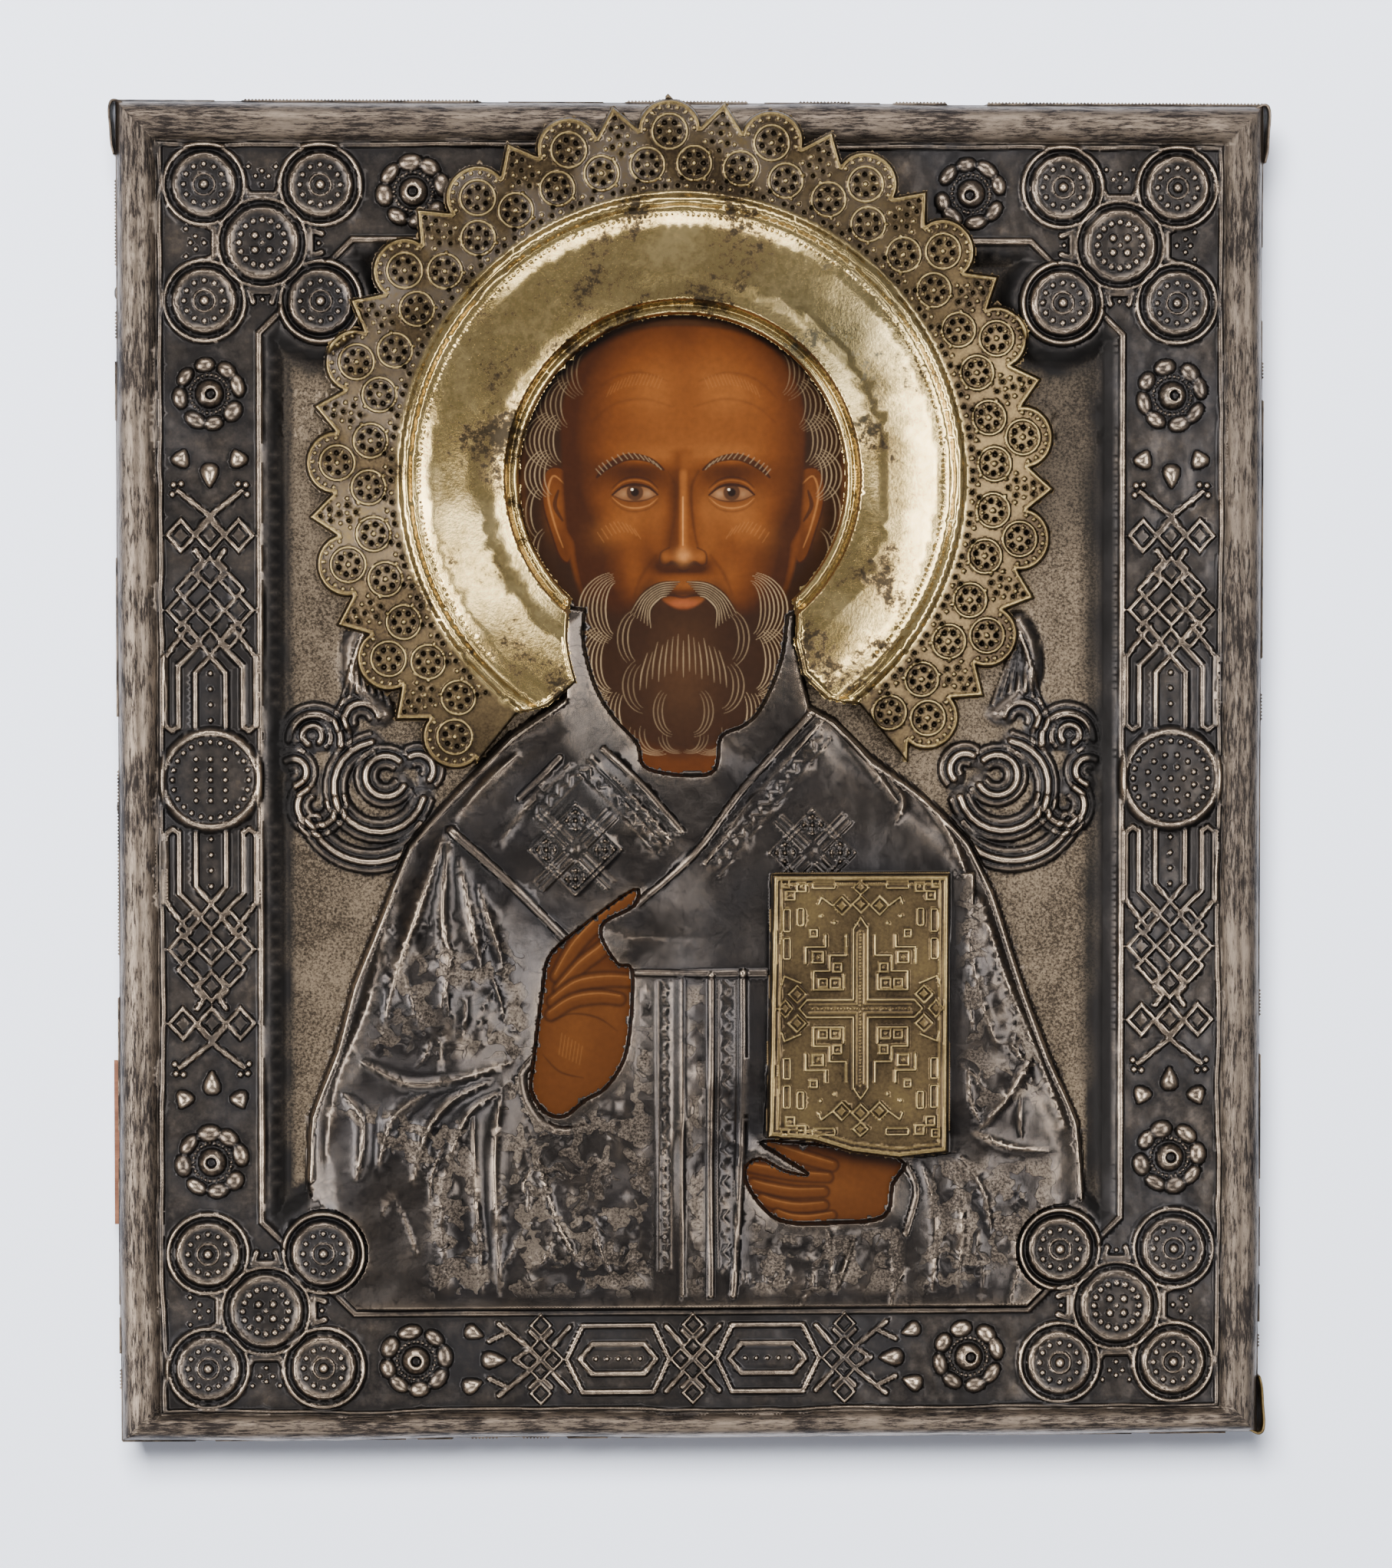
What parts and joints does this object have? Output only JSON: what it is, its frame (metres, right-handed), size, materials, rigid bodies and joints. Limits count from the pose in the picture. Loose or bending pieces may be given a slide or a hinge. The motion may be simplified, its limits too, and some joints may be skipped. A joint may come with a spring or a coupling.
{
  "type": "icon panel",
  "caption": "Painted wooden devotional panel under a chased silver cover with a gilt halo and book plate, held flat by two tapered slats.",
  "frame": {"origin": "centre of the panel in plan, on the plane on which the two slats' backs rest", "axes": "the panel lies on its back: +Z out of its painted front, +Y towards the figure's head, +X towards the right edge as seen from the front"},
  "size_m": [0.2718, 0.3134, 0.0353],
  "materials": {
    "painted_wood": "aged wood, the front primed, painted and varnished",
    "slat_wood": "aged bare wood",
    "silver": "tarnished chased silver sheet, bright on worn ridges",
    "gilt": "worn gilt silver, polished with dark tarnish",
    "nail": "dull small nails"
  },
  "bodies": {
    "root": {"board": "painted_wood", "upper_slat": "slat_wood", "lower_slat": "slat_wood", "silver_cover": "silver", "halo": "gilt", "book_plate": "gilt", "nail_1": "nail", "nail_2": "nail", "nail_3": "nail", "nail_4": "nail", "nail_5": "nail", "nail_6": "nail", "nail_7": "nail", "nail_8": "nail", "nail_9": "nail", "nail_10": "nail"}
  },
  "joints": []
}
